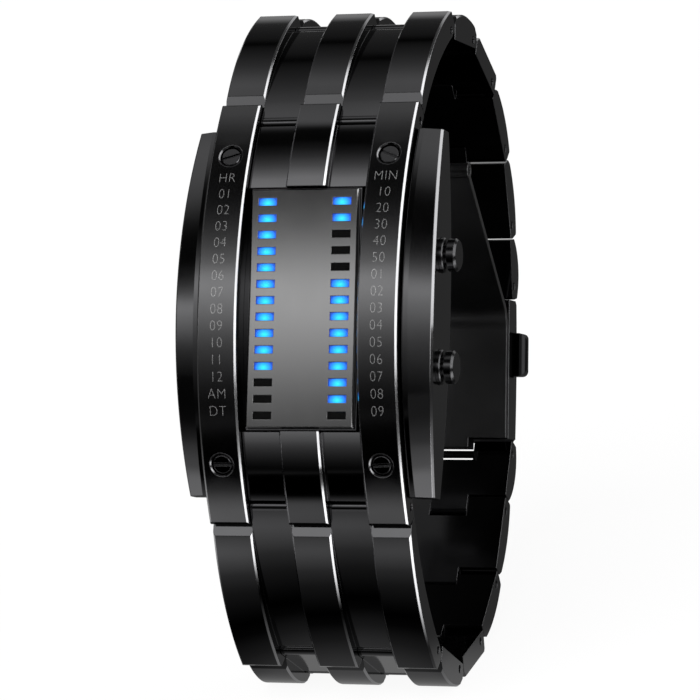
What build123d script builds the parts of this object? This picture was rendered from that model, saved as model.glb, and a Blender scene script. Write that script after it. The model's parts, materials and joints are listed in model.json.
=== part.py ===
from build123d import *
import math
import os

# Binary wristwatch: a curved case with an LED plate on a five-column link bracelet, closed by a folding clasp.
# Lengths are millimetres and angles degrees. The drawing frame has its origin at the front of the dial rails,
# at mid height of the case: X runs to the pushers, Y into the wrist loop, Z to the twelve o'clock end.
# Every solid is then leaned back and set down, with the origin at the middle of the link that it stands on.

# Columns of the bracelet
column_width = 4.6
column_shares = (-2.5, -1.5, -0.5, 0.5, 1.5)
recessed_thickness = 1.7
column_raise = 1.1
edge_bevel = 0.22
end_lip = 1.0
tip_bevel = 0.5
stand_neighbour_tip = 1.15

# Link hinges
pin_radius = 0.45
pin_clearance = 0.04
pin_inset = 0.15
hinge_reach = 1.6
joint_gap = 0.15
nose_gap = 0.2
knuckle_gap = 0.06

# Links, counted from the case: a long one, four of the pitch and a part link
link_pitch = 9.7
upper_long_link = 17.2
lower_long_link = 19.8
part_link = 7.4
long_link_arch = 1.2
link_crown = 0.45
upper_headings = (45.8, 3.5, -21, -45.5, -65, -77.5)
standing_heading = 21
lower_headings = (-50.5, -11, standing_heading, 46, 67, 70.5)

# Case
face_radius = 45.0
lug_height = 21.525
case_half_height = 19.6
case_back_plane = 9.2
seat_gap = 0.05
side_wall = 1.3
cavity_half_height = 14.0
cavity_front = 5.7
back_plate_thickness = 1.0
back_plate_inset = 0.3
back_plate_land = 3.0
back_corner = 3.0

# Case back seal and screws
seal_width = 0.5
seal_depth = 0.4
seal_margin = 0.3
back_screw_radius = 0.5
back_screw_head = 0.9
back_screw_head_depth = 0.5
back_screw_length = 1.7
back_screw_edge = 1.15
back_screw_side = 2.4
slot_width = 0.32

# Rail screws
rail_screw_height = 17.3
rail_screw_head = 1.15
rail_screw_head_depth = 0.75
rail_screw_radius = 0.6
rail_screw_bite = 1.3
rail_screw_dome = 0.15
screw_ring_gap = 0.1
screw_ring_bevel = 0.16
screw_slot_depth = 0.35
screw_slot_turns = (18, -24, 0, 4)

# Side covers
cover_thickness = 2.5
cover_drop = 1.3
cover_fall = 1.3
cover_land = 0.6
cover_half_height = 20.5
cover_back_plane = 9.8
cover_swell = 0.7
cover_gap = 0.12
cover_bevel = 0.25

# LED plate and what shows through it
plate_half_width = 6.2
plate_half_height = 13.3
plate_front = 2.2
plate_thickness = 0.6
plate_bevel = 0.18
plate_gap = 0.3
plate_seal_width = 0.5
plate_seal_thickness = 0.2
led_rows = 14
led_pitch = 1.83
led_column = 4.3
led_width = 2.15
led_height = 0.86
led_gap = 0.04
led_recess = 0.12
hours_lit = range(0, 11)
minutes_lit = (0, 1, 5, 6, 7, 8, 9, 10, 11, 12)

# Movement
board_thickness = 0.6
board_half_width = 9.0
board_side_gap = 0.2
cell_radius = 8.0
cell_thickness = 1.6
cell_gap = 0.1
cell_shoulder = 0.35
clip_thickness = 0.15
clip_half_width = 1.6
frame_back_gap = 0.2
contact_thickness = 0.2
contact_half_height = 1.1
contact_depth = 1.4

# Case pushers
pusher_height = 6.2
pusher_plane = 6.0
pusher_cap_radius = 1.85
pusher_cap_length = 1.05
pusher_cap_bevel = 0.25
pusher_groove = 0.38
pusher_travel = 0.3
collar_radius = 1.95
collar_stand = 0.45
collar_bore = 1.2
collar_floor = 0.9
neck_radius = 1.1
neck_length = 1.35
stem_radius = 0.7
stem_clearance = 0.05
stem_reach = 0.3
pusher_seal_length = 0.4
pusher_spring_wall = 0.3
pusher_spring_gap = 0.05

# Clasp cover
cover_plate = 1.0
cover_wall = 1.0
cover_depth = 2.05
cover_end_gap = 1.85
cover_tooth = 0.4
cover_block = 0.85
clasp_crown = 0.3
clasp_bevel = 0.5

# Clasp blades
blade_thickness = 0.7
blade_gap = 0.15
blade_heading = 143.2
blade_length = 25.7
blade_knuckle = 0.9
blade_pin_radius = 0.45
blade_bend_radius = 4.0
base_blade_inset = 0.1
fold_blade_half_width = 10.2
fold_knuckle_half_width = 5.0
blade_tail_gap = 1.95
blade_pivot_along = 3.7
blade_pivot_depth = 0.6
bar_ear_width = 4.3
bar_ear_gap = 0.15
bar_ear_slope = 0.25
bar_ear_reach = 0.25

# Clasp buttons
button_from_pivot = 4.65
button_sink = 0.4
button_length = 5.2
button_depth = 2.4
button_stand = 1.9
button_corner = 0.9
button_gap = 0.1
button_travel = 0.5
button_flange = 0.5
button_flange_lip = 0.5
button_tongue_end = 6.2
button_tongue_share = 0.6
button_spring_radius = 0.75
button_spring_wall = 0.3
button_rib_inner = 3.4
button_rib_thickness = 0.9
catch_half_width = 3.0
catch_length = 2.4
catch_height = 1.9
catch_head = 0.6
catch_neck = 0.35

overrun = 1.0
flat_limit = 1e-9

# Values that follow from those above
band_half = column_width * len(column_shares) / 2
nose = recessed_thickness / 2
raised = nose + column_raise
link_start = hinge_reach + joint_gap
bore = pin_radius + pin_clearance
columns = [(share * column_width, (share + 1) * column_width) for share in column_shares]
raised_columns = columns[0::2]
recessed_columns = columns[1::2]
body_half_width = band_half + seat_gap * 2
cover_outer = body_half_width + cover_gap + cover_thickness
back_plate_half_height = cavity_half_height + back_plate_land
plate_back = plate_front + plate_thickness
platform_front = plate_back + plate_seal_thickness


def ahead(point, heading, distance):
    """The point at a distance along a heading in the side plane, as (y, z)."""
    turn = math.radians(heading)
    return (point[0] + distance * math.cos(turn), point[1] + distance * math.sin(turn))


def heading_of(start, end):
    return math.degrees(math.atan2(end[1] - start[1], end[0] - start[0]))


def rim(radius, height):
    """The point of the case's round front, or of a circle about the same axis, at a height."""
    return (face_radius - math.sqrt(radius ** 2 - height ** 2), height)


def chain(start, headings, lengths):
    """The pins of one half of the bracelet, from the case outwards."""
    pins = [start]
    for heading, length in zip(headings, lengths):
        pins.append(ahead(pins[-1], heading, length))
    return pins


lug_pin = rim(face_radius - raised, lug_height)
lug_angle = math.degrees(math.asin(lug_height / (face_radius - raised)))
lug_heading = 90 - lug_angle
upper_lengths = (upper_long_link,) + (link_pitch,) * 4 + (part_link,)
lower_lengths = (lower_long_link,) + (link_pitch,) * 4 + (part_link,)
upper_pins = chain(lug_pin, upper_headings, upper_lengths)
lower_pins = chain((lug_pin[0], -lug_pin[1]), lower_headings, lower_lengths)

# The watch stands on one lower link, leaning back by its heading, with the origin at its face's middle
standing_link = lower_headings.index(standing_heading)
stand_along = (link_start + end_lip + link_pitch + hinge_reach - tip_bevel) / 2
stand_middle = ahead(lower_pins[standing_link], standing_heading, stand_along)
stand = ahead(stand_middle, standing_heading - 90, raised)

# The clasp spans from the last upper pin to the spring bar of the last lower link
clasp_heading = heading_of(upper_pins[-1], lower_pins[-1])
clasp_length = math.dist(upper_pins[-1], lower_pins[-1])
clasp_end = clasp_length - cover_end_gap


def clasp_point(along, out):
    """A point of the side plane from its place along the clasp and its distance outwards."""
    return ahead(ahead(upper_pins[-1], clasp_heading, along), clasp_heading + 90, out)


blade_pivot = clasp_point(blade_pivot_along, -blade_pivot_depth)
blade_sink = blade_thickness + blade_gap / 2
blade_hinge = ahead(ahead(blade_pivot, blade_heading, blade_length), blade_heading + 90, blade_sink)


def block(x, y, z):
    """A box from its ranges."""
    middle = [(low + high) / 2 for low, high in (x, y, z)]
    return Pos(*middle) * Box(x[1] - x[0], y[1] - y[0], z[1] - z[0])


def curve(*points):
    """A line through two points or an arc through three, which is a line too where they are in one."""
    (x0, y0), (x1, y1), (x2, y2) = points[0], points[1], points[-1]
    bend = (x1 - x0) * (y2 - y0) - (y1 - y0) * (x2 - x0)
    if abs(bend) < flat_limit:
        return Line(points[0], points[-1])
    return ThreePointArc(*points)


def outline(*edges):
    """A face from edges given as two points for a line, or three for an arc."""
    return make_face([curve(*e) for e in edges])


def polygon(*points):
    closed = list(points) + [points[0]]
    return outline(*zip(closed[:-1], closed[1:]))


def across(face, low, high):
    """A face of a local side plane drawn out between two places across the band."""
    return Pos(0, 0, low) * extrude(face, amount=high - low)


def place(solid, point, heading, side=1):
    """Local x goes along the heading, local y out of the loop and local z across the band."""
    turn = math.radians(heading)
    frame = Plane(
        origin=(0, point[0], point[1]),
        x_dir=(0, math.cos(turn), math.sin(turn)),
        z_dir=(side, 0, 0),
    )
    return frame.location * solid


def rod(radius, half_length, point=(0, 0)):
    """A cylinder along local z, centred across the band."""
    return Pos(point[0], point[1], 0) * Cylinder(radius, 2 * half_length)


def side_face(y_z_edges):
    """Edges of (y, z) points as a face at X = 0, facing +X."""
    return Plane.YZ * outline(*y_z_edges)


def lift(length, arch, along, offset):
    """Height over the pin line of a surface of an arched link, parallel to its arch."""
    if not arch:
        return offset
    radius = (length ** 2 / 4 + arch ** 2) / (2 * arch)
    return math.sqrt((radius + offset) ** 2 - (along - length / 2) ** 2) - (radius - arch)


def link(length, arch, crown, tip):
    """One link in its own plane: the near pin at the origin, the far pin at x = length."""
    end = length + hinge_reach
    web_end = length - nose - nose_gap
    lug_drop = math.asin(nose / hinge_reach)
    lug_toe = length + hinge_reach * math.cos(lug_drop)

    def at(along, offset, extra=0.0):
        return (along, lift(length, arch, along, offset) + extra)

    top_from, top_to = link_start + end_lip, end - tip
    top = [(top_from, raised), (length / 2, raised + arch + crown), (top_to, raised)]
    toe = (lug_toe, -nose)
    half_drop = lug_drop / 2
    round_middle = (length + hinge_reach * math.cos(half_drop), -hinge_reach * math.sin(half_drop))
    heel = at(link_start, -nose)
    raised_face = outline(
        (heel, (link_start, raised - end_lip)),
        ((link_start, raised - end_lip), top[0]),
        tuple(top),
        (top[2], (end, raised - tip)),
        ((end, raised - tip), (end, 0)),
        ((end, 0), round_middle, toe),
        (toe, (length, -nose)),
        ((length, -nose), at(length / 2, -nose), heel),
    )
    web_face = outline(
        ((0, -nose), (-nose, 0), (0, nose)),
        ((0, nose), at(length / 2, nose), at(web_end, nose)),
        (at(web_end, nose), at(web_end, -nose)),
        (at(web_end, -nose), at(length / 2, -nose), (0, -nose)),
    )
    solid = None
    for low, high in raised_columns:
        bar = across(raised_face, low, high)
        edges = []
        for wall in (low, high):
            rail = [e for e in bar.edges() if abs(e.center().Z - wall) < edge_bevel and e.center().Y > nose]
            edges.append(max(rail, key=lambda e: e.length))
        bar = chamfer(edges, edge_bevel)
        solid = bar if solid is None else solid + bar
    for low, high in recessed_columns:
        solid += across(web_face, low, high)
    reach = nose + overrun
    for low, high in recessed_columns:
        for wall in (low + knuckle_gap / 2, high - knuckle_gap / 2):
            half = knuckle_gap / 2
            solid -= block((-reach, link_start), (-reach, reach), (wall - half, wall + half))
    solid -= rod(bore, band_half + overrun)
    solid -= rod(bore, band_half + overrun, (length, 0))
    return solid


def link_pin(length):
    return rod(pin_radius, band_half - pin_inset, (length, 0))


def rail_profile():
    """The side outline of a dial rail: an arc over the case with a lug at each end."""
    turn = math.radians(lug_heading)
    lug_drop = math.asin(nose / hinge_reach)

    def lug(along, out, side):
        y = lug_pin[0] + along * math.cos(turn) - out * math.sin(turn)
        z = lug_pin[1] + along * math.sin(turn) + out * math.cos(turn)
        return (y, side * z)

    def lug_arc(drop, side):
        return lug(hinge_reach * math.cos(drop), -hinge_reach * math.sin(drop), side)

    top, low = lug(hinge_reach - tip_bevel, raised, 1), lug(hinge_reach - tip_bevel, raised, -1)
    edges = [(low, (0, 0), top)]
    for side in (1, -1):
        tip = lug(hinge_reach - tip_bevel, raised, side)
        brow = lug(hinge_reach, raised - tip_bevel, side)
        chin = lug(hinge_reach, 0, side)
        edges += [(tip, brow), (brow, chin), (chin, lug_arc(lug_drop / 2, side), lug_arc(lug_drop, side))]
    edges.append((lug_arc(lug_drop, 1), (raised + nose, 0), lug_arc(lug_drop, -1)))
    return side_face(edges)


def drawn_across(face, low, high):
    """A face of the plane X = 0 drawn out between two places in X."""
    return Pos(low, 0, 0) * extrude(face, amount=high - low, dir=(1, 0, 0))


def lug_bores():
    cuts = [Pos(0, lug_pin[0], side * lug_pin[1]) * Rot(0, 90, 0) * Cylinder(bore, 2 * (band_half + overrun))
            for side in (1, -1)]
    return cuts


def bevelled_column(face, low, high):
    """A raised column of the case with its two long front edges bevelled."""
    bar = drawn_across(face, low, high)
    edges = []
    arcs = bar.edges().filter_by(GeomType.CIRCLE)
    for wall in (low, high):
        rims = [e for e in arcs if abs(e.center().X - wall) < edge_bevel]
        edges.append(max(rims, key=lambda e: e.length))
    return chamfer(edges, edge_bevel)


def screw_frame(side, x):
    """A plane on the rail's front at a rail screw, facing outwards."""
    height = side * rail_screw_height
    y, z = rim(face_radius, height)
    return Plane(origin=(x, y, z), x_dir=(1, 0, 0), z_dir=(0, y - face_radius, z))


rail_middle = (raised_columns[2][0] + raised_columns[2][1]) / 2
screw_places = [(1, -rail_middle), (1, rail_middle), (-1, -rail_middle), (-1, rail_middle)]


def slotted_screw(head, head_depth, radius, length, dome, slot_depth):
    """A screw whose head's top is at the origin and whose shank goes down local z."""
    solid = Pos(0, 0, -head_depth / 2) * Cylinder(head, head_depth)
    solid = chamfer(solid.edges().group_by(Axis.Z)[-1], dome)
    solid += Pos(0, 0, -length / 2) * Cylinder(radius, length)
    half_slot = slot_width / 2
    solid -= block((-head - overrun, head + overrun), (-half_slot, half_slot), (-slot_depth, overrun))
    return solid


def rail_screws():
    screw = slotted_screw(
        rail_screw_head, rail_screw_head_depth, rail_screw_radius,
        raised + nose + rail_screw_bite, rail_screw_dome, screw_slot_depth,
    )
    return [
        screw_frame(side, x).location * (Pos(0, 0, -rail_screw_dome) * Rot(0, 0, turn) * screw)
        for (side, x), turn in zip(screw_places, screw_slot_turns)
    ]


def rail_screw_cut():
    """What a rail screw takes out of the rail and the case."""
    seat = rail_screw_head + screw_ring_gap
    depth = rail_screw_head_depth + rail_screw_dome
    cut = Pos(0, 0, (overrun - depth) / 2) * Cylinder(seat, depth + overrun)
    ring = Cone(seat, seat + screw_ring_bevel + overrun, screw_ring_bevel + overrun)
    cut += Pos(0, 0, (overrun - screw_ring_bevel) / 2) * ring
    length = raised + nose + rail_screw_bite + seat_gap + rail_screw_dome
    cut += Pos(0, 0, -length / 2) * Cylinder(rail_screw_radius, length)
    return cut


def dial_rail(low, high):
    solid = bevelled_column(rail_profile(), low, high)
    cut = rail_screw_cut()
    for side, x in screw_places:
        if low < x < high:
            solid -= screw_frame(side, x).location * cut
    for hole in lug_bores():
        solid -= hole
    return solid


def end_link(side):
    """The three short columns between the LED plate and the bracelet at one end of the case."""
    start = plate_half_height + plate_gap
    low, high = raised_columns[1]
    solid = bevelled_column(rail_profile(), low, high)
    nose_angle = lug_angle - math.degrees((nose + nose_gap) / (face_radius - raised))
    stop = math.sin(math.radians(nose_angle))
    outer, inner = face_radius - column_raise, face_radius - raised - nose
    a, b = rim(outer, -outer * stop), rim(outer, outer * stop)
    c, d = rim(inner, inner * stop), rim(inner, -inner * stop)
    arch = side_face([
        (a, rim(outer, 0), b), (b, c), (c, rim(inner, 0), d), (d, a),
    ])
    for low, high in recessed_columns:
        inset = seat_gap if low > 0 else 0
        outset = seat_gap if low < 0 else 0
        solid += drawn_across(arch, low + outset, high - inset)
    for hole in lug_bores():
        solid -= hole
    far = lug_height + hinge_reach + overrun
    keep = block((-band_half, band_half), (-overrun, face_radius), tuple(sorted((side * start, side * far))))
    return solid & keep


def case_body():
    """The cast middle of the case: round in front, flat behind, with a step that carries the LED plate."""
    front = face_radius - raised - nose - seat_gap
    a, b = rim(front, -case_half_height), rim(front, case_half_height)
    c, d = (case_back_plane, case_half_height), (case_back_plane, -case_half_height)
    solid = drawn_across(
        side_face([(a, rim(front, 0), b), (b, c), (c, d), (d, a)]), -body_half_width, body_half_width)
    step = plate_half_height + plate_gap / 2
    ledge = plate_half_width + plate_gap / 2
    solid -= block((-ledge, ledge), (0, platform_front), (-step, step))
    solid += block((-ledge, ledge), (platform_front, cavity_front), (-step, step))
    cavity = body_half_width - side_wall
    solid -= block((-cavity, cavity), (cavity_front, case_back_plane + overrun),
                   (-cavity_half_height, cavity_half_height))
    window_x = plate_half_width - plate_seal_width
    window_z = plate_half_height - plate_seal_width
    solid -= block((-window_x, window_x), (0, cavity_front + overrun), (-window_z, window_z))
    solid -= back_seal_ring(0)
    cut = rail_screw_cut()
    for side, x in screw_places:
        solid -= screw_frame(side, x).location * cut
    for x, z in back_screw_places():
        depth = back_screw_length + seat_gap
        solid -= Pos(x, case_back_plane + back_plate_thickness - depth / 2, z) * Rot(90, 0, 0) * Cylinder(
            back_screw_radius, depth)
    for side in (1, -1):
        hole = stem_radius + stem_clearance
        solid -= Pos(body_half_width, pusher_plane, side * pusher_height) * Rot(0, 90, 0) * Cylinder(
            hole, 2 * (side_wall + overrun))
    return solid


def back_seal_ring(trim):
    """The ring that seals the case back, thinner than its groove by the trim."""
    x = body_half_width - side_wall + seal_margin
    z = cavity_half_height + seal_margin
    y = (case_back_plane - seal_depth + trim, case_back_plane)
    ring = block((-x - seal_width, x + seal_width), y, (-z - seal_width, z + seal_width))
    return ring - block((-x, x), (y[0] - overrun, y[1] + overrun), (-z, z))


def back_screw_places():
    x = body_half_width - back_screw_side
    z = back_plate_half_height - back_screw_edge
    return [(sx * x, sz * z) for sx in (-1, 1) for sz in (-1, 1)]


def case_back():
    x = body_half_width - back_plate_inset
    y = (case_back_plane, case_back_plane + back_plate_thickness)
    solid = block((-x, x), y, (-back_plate_half_height, back_plate_half_height))
    solid = fillet(solid.edges().filter_by(Axis.Y), back_corner)
    solid = chamfer(solid.faces().sort_by(Axis.Y)[-1].edges(), back_plate_inset)
    through = 2 * back_plate_thickness + overrun
    for place_x, place_z in back_screw_places():
        seat = Pos(place_x, y[1], place_z) * Rot(90, 0, 0)
        solid -= seat * Cylinder(back_screw_radius + seat_gap, through)
        solid -= seat * Cylinder(back_screw_head + seat_gap, 2 * back_screw_head_depth)
    return solid


def back_screws():
    screw = slotted_screw(
        back_screw_head, back_screw_head_depth, back_screw_radius, back_screw_length,
        seat_gap, back_screw_head_depth / 2,
    )
    face = case_back_plane + back_plate_thickness
    return [Pos(x, face, z) * Rot(-90, 0, 0) * screw for x, z in back_screw_places()]


def side_cover(side):
    """The thick curved cheek that closes one flank of the case."""
    inner = body_half_width + cover_gap
    reach = cover_outer + cover_swell
    front = cover_section(inner, reach + overrun)
    solid = revolve(front, Axis((0, face_radius, 0), (1, 0, 0)), 360)
    h = cover_half_height
    plan = Plane.XZ * outline(
        ((inner, -h), (inner, h)),
        ((inner, h), (cover_outer, h)),
        ((cover_outer, h), (reach, 0), (cover_outer, -h)),
        ((cover_outer, -h), (inner, -h)),
    )
    slab = extrude(plan, amount=cover_back_plane, dir=(0, 1, 0))
    solid = solid & slab
    long_edges = [e for e in solid.edges() if e.length > h and e.center().Y < case_back_plane]
    rims = [e for e in long_edges if e.center().X > cover_outer - cover_swell]
    solid = chamfer(rims, cover_bevel)
    if side > 0:
        for z in (-pusher_height, pusher_height):
            solid -= Pos(cover_outer, pusher_plane, z) * Rot(0, 90, 0) * Cylinder(
                collar_radius + seat_gap, 2 * cover_thickness + overrun)
        return solid
    return mirror(solid, about=Plane.YZ)


def cover_section(low, high):
    """The section of a side cover's front: a narrow land, then a slope that falls away outwards."""
    land = low + cover_land
    fall = cover_fall * (high - land) / (cover_thickness + cover_swell - cover_land)
    return Plane.XY * polygon(
        (low, cover_drop), (land, cover_drop), (high, cover_drop + fall),
        (high, face_radius / 2), (low, face_radius / 2),
    )


def led_places():
    """Each LED's place and whether it is lit, from the top row down."""
    places = []
    for row in range(led_rows):
        z = ((led_rows - 1) / 2 - row) * led_pitch
        places.append((-led_column, z, row in hours_lit))
        places.append((led_column, z, row in minutes_lit))
    return places


def led_block(x, z, trim, y):
    half_width, half_height = led_width / 2 - trim, led_height / 2 - trim
    return block((x - half_width, x + half_width), y, (z - half_height, z + half_height))


def led_plate():
    w, h = plate_half_width, plate_half_height
    solid = block((-w, w), (plate_front, plate_back), (-h, h))
    solid = chamfer(solid.faces().sort_by(Axis.Y)[0].edges(), plate_bevel)
    for x, z, lit in led_places():
        solid -= led_block(x, z, 0, (plate_front - overrun, plate_back + overrun))
    return solid


def plate_seal():
    w, h = plate_half_width - led_gap, plate_half_height - led_gap
    y = (plate_back, platform_front)
    ring = block((-w, w), y, (-h, h))
    w, h = w - plate_seal_width, h - plate_seal_width
    return ring - block((-w, w), (y[0] - overrun, y[1] + overrun), (-h, h))


board_front = cavity_front + seat_gap
board_back = board_front + board_thickness
frame_back = case_back_plane - frame_back_gap
cell_back = frame_back - clip_thickness
board_half_height = cavity_half_height - board_side_gap


def leds(lit_ones):
    y = (plate_front + led_recess, board_front)
    return [led_block(x, z, led_gap, y) for x, z, lit in led_places() if lit == lit_ones]


def led_board():
    return block((-board_half_width, board_half_width), (board_front, board_back),
                 (-board_half_height, board_half_height))


def movement_frame():
    solid = block((-board_half_width, board_half_width), (board_back, frame_back),
                  (-board_half_height, board_half_height))
    pocket = cell_radius + cell_gap
    deep = cell_back - cell_thickness
    depth = case_back_plane - deep
    solid -= Pos(0, deep + depth / 2, 0) * Rot(90, 0, 0) * Cylinder(pocket, depth)
    solid -= Pos(0, deep, 0) * Rot(90, 0, 0) * Cylinder(cell_radius / 2, overrun * 2)
    w = clip_half_width + cell_gap
    h = board_half_height + overrun
    return solid - block((-w, w), (cell_back, case_back_plane), (-h, h))


def coin_cell():
    solid = Pos(0, cell_back - cell_thickness / 2, 0) * Rot(90, 0, 0) * Cylinder(cell_radius, cell_thickness)
    front = solid.faces().sort_by(Axis.Y)[0]
    return chamfer(front.edges(), cell_shoulder)


def cell_clip():
    w, h = clip_half_width, board_half_height
    return block((-w, w), (cell_back, frame_back), (-h, h))


def switch_contacts():
    x = board_half_width + seat_gap
    return [
        block((x, x + contact_thickness), (board_front, board_front + contact_depth),
              (z - contact_half_height, z + contact_half_height))
        for z in (-pusher_height, pusher_height)
    ]


# Places along X of the pieces of a case pusher
collar_inner = body_half_width + seat_gap
cover_face = cover_outer + cover_swell
collar_outer = cover_face + collar_stand
collar_seat = collar_inner + collar_floor
cap_inner = collar_outer + pusher_groove
cap_outer = cap_inner + pusher_cap_length
neck_end = cap_inner - neck_length - pusher_groove
stem_end = body_half_width - side_wall - stem_reach
seal_end = collar_seat + pusher_seal_length


def along_x(radius, low, high, z):
    return Pos((low + high) / 2, pusher_plane, z) * Rot(0, 90, 0) * Cylinder(radius, high - low)


def pusher(z):
    cap = along_x(pusher_cap_radius, cap_inner, cap_outer, z)
    cap = chamfer(cap.faces().sort_by(Axis.X)[-1].edges(), pusher_cap_bevel)
    solid = cap + along_x(neck_radius, neck_end, cap_inner, z)
    return solid + along_x(stem_radius, stem_end, neck_end, z)


def pusher_collar(z):
    solid = along_x(collar_radius, collar_inner, collar_outer, z)
    solid = chamfer(solid.faces().sort_by(Axis.X)[-1].edges(), pusher_cap_bevel / 2)
    solid -= along_x(collar_bore, collar_seat, collar_outer + overrun, z)
    return solid - along_x(stem_radius + stem_clearance, collar_inner - overrun, collar_seat + overrun, z)


def pusher_seal(z):
    solid = along_x(collar_bore - stem_clearance, collar_seat, seal_end, z)
    return solid - along_x(stem_radius + stem_clearance, collar_seat - overrun, seal_end + overrun, z)


def pusher_spring(z):
    """The return spring, drawn as the tube that its coils fill."""
    low, high = seal_end + pusher_spring_gap, neck_end - pusher_spring_gap
    inner = stem_radius + stem_clearance
    solid = along_x(inner + pusher_spring_wall, low, high, z)
    return solid - along_x(inner, low - overrun, high + overrun, z)


# Places along the clasp of its buttons and catch
button_along = blade_pivot_along + button_from_pivot
button_out = -button_sink


def clasp_cover():
    """The outer shell of the clasp: a crowned plate with two side walls, hinged like a link.

    A tooth at the free end of the plate stands over the bevel of the last link.
    """
    length = clasp_end
    bottom = -cover_depth
    mid = (link_start + length) / 2
    shell = outline(
        ((link_start, bottom), (link_start, raised - end_lip)),
        ((link_start, raised - end_lip), (link_start + end_lip, raised)),
        ((link_start + end_lip, raised), (mid, raised + clasp_crown), (length + cover_tooth, raised)),
        ((length + cover_tooth, raised), (length, raised - cover_tooth)),
        ((length, raised - cover_tooth), (length, bottom)),
        ((length, bottom), (link_start, bottom)),
    )
    solid = across(shell, -band_half, band_half)
    crest = [e for e in solid.edges() if e.geom_type == GeomType.CIRCLE]
    solid = chamfer(crest, clasp_bevel)
    inside = band_half - cover_wall
    block_end = link_start + cover_block
    under = raised - cover_plate
    solid -= block((block_end, length + overrun), (bottom - overrun, under), (-inside, inside))
    solid -= block((0, block_end + overrun), (bottom - overrun, -nose), (-inside, inside))
    for low, high in recessed_columns:
        half = column_width / 2
        bar = rod(nose, half) + block((0, block_end), (-nose, nose), (-half, half))
        bar = Pos(0, 0, (low + high) / 2) * bar
        for wall in (low, high):
            bar -= block((-nose - overrun, link_start), (-nose - overrun, nose + overrun),
                         (wall - knuckle_gap, wall + knuckle_gap))
        solid += bar
    solid -= rod(bore, band_half + overrun)
    solid -= rod(blade_pin_radius, band_half - cover_wall / 2, (blade_pivot_along, -blade_pivot_depth))
    half = button_length / 2 + button_gap
    tall = button_depth / 2 + button_gap
    rib = catch_length / 2
    opening = ((button_along - half, button_along + half), (button_out - tall, button_out + tall))
    stay = ((button_along - rib, button_along + rib), (button_out - button_spring_radius, under))
    for side in (1, -1):
        walls = tuple(sorted((side * (inside - overrun / 2), side * (band_half + overrun))))
        solid -= block(*opening, walls)
        ribs = tuple(sorted((side * button_rib_inner, side * (button_rib_inner + button_rib_thickness))))
        solid += block(*stay, ribs)
    return solid


def clasp_button(side):
    """One push-button: a rounded paddle outside, a flange inside the wall and a tongue to its spring."""
    half, tall = button_length / 2, button_depth / 2
    wall_in = band_half - cover_wall
    paddle = block((-half, half), (-tall, tall), (wall_in, band_half + button_stand))
    outer = paddle.faces().sort_by(Axis.Z)[-1]
    paddle = fillet(outer.edges(), button_corner)
    flange = block((-half - button_flange_lip, half + button_flange_lip), (-tall, tall),
                   (wall_in - button_gap - button_flange, wall_in - button_gap))
    tongue_half = half * button_tongue_share
    tongue_tall = button_spring_radius
    tongue = block((-tongue_half, tongue_half), (-tongue_tall, tongue_tall), (button_tongue_end, wall_in))
    solid = Pos(button_along, button_out, 0) * (paddle + flange + tongue)
    return solid if side > 0 else mirror(solid, about=Plane.XY)


def clasp_spring(side):
    """The spring behind a clasp button, drawn as the tube that its coils fill."""
    low = button_rib_inner + button_rib_thickness + pusher_spring_gap
    high = button_tongue_end - pusher_spring_gap
    tube = Cylinder(button_spring_radius, high - low)
    tube -= Cylinder(button_spring_radius - button_spring_wall, high - low + overrun)
    return Pos(button_along, button_out, side * (low + high) / 2) * tube


def fold_blade():
    """The middle blade, in the frame of its pivot in the cover: local x runs to the hinge of the blades."""
    w = fold_blade_half_width
    inner = blade_pin_radius + pin_clearance
    stop = blade_length - blade_knuckle - blade_gap
    tongue = fold_knuckle_half_width
    solid = block((0, stop), (0, blade_thickness), (-w, w))
    solid += block((stop - overrun, blade_length), (0, blade_thickness), (-tongue, tongue))
    solid += rod(blade_knuckle, w)
    solid += Pos(blade_length, blade_sink, 0) * rod(blade_knuckle, tongue)
    solid -= rod(inner, band_half)
    return solid - rod(inner, band_half, (blade_length, blade_sink))


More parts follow.
